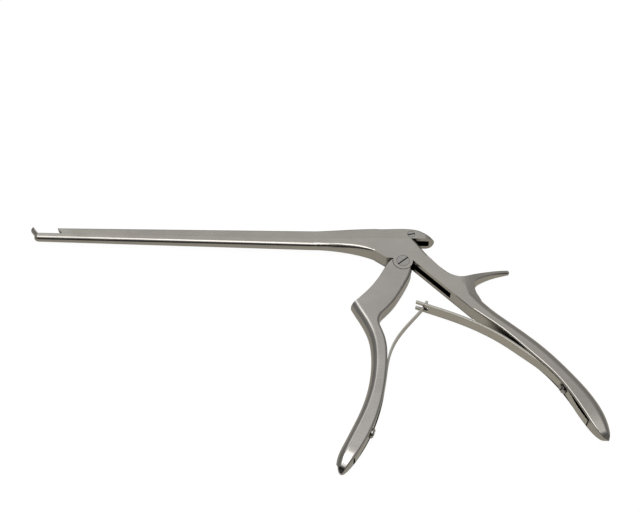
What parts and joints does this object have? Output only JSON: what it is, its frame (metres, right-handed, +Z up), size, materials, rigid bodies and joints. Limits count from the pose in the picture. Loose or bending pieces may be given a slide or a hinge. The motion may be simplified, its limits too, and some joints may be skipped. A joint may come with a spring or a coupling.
{
  "type": "bone rongeur",
  "caption": "Pistol-shaped bone punch: squeezing the sprung front handle slides the upper shaft forward to cut against an upturned footplate.",
  "frame": {"origin": "on the axis of the handle pivot, in the plane of the flat side that the instrument lies on", "axes": "+X along the shaft from the cutting tip to the tail, +Y from the handles towards the shaft, +Z up through the thickness along the pivot axis"},
  "size_m": [0.2892, 0.1372, 0.009],
  "materials": {
    "satin_steel": "satin",
    "screw_steel": "satin",
    "spring_steel": "polished"
  },
  "bodies": {
    "frame": {"frame_with_rear_handle": "satin_steel", "pivot_screw": "screw_steel", "rear_leaf_spring": "spring_steel", "rear_spring_screw": "screw_steel"},
    "front_lever": {"front_handle": "satin_steel", "front_leaf_spring": "spring_steel", "front_spring_screw": "screw_steel"},
    "sliding_shaft": {"upper_shaft": "satin_steel", "drive_screw": "screw_steel", "guide_key": "screw_steel", "guide_pin": "screw_steel"}
  },
  "joints": [
    {"name": "handle_squeeze", "type": "hinge", "parent": "frame", "child": "front_lever", "pos_m": [0, 0, 0], "axis": [0, 0, 1], "range_deg": [0, 40.3], "stiffness_Nm_per_rad": 1.2, "springref_deg": -17.19, "deforming": ["rear_leaf_spring", "front_leaf_spring"]},
    {"name": "shaft_slide", "type": "slide", "parent": "frame", "child": "sliding_shaft", "axis": [-1, 0, 0], "range_m": [0, 0.0124]}
  ],
  "couplings": [
    {"joint": "shaft_slide", "follows": "handle_squeeze", "m_per_rad": 0.01762}
  ]
}
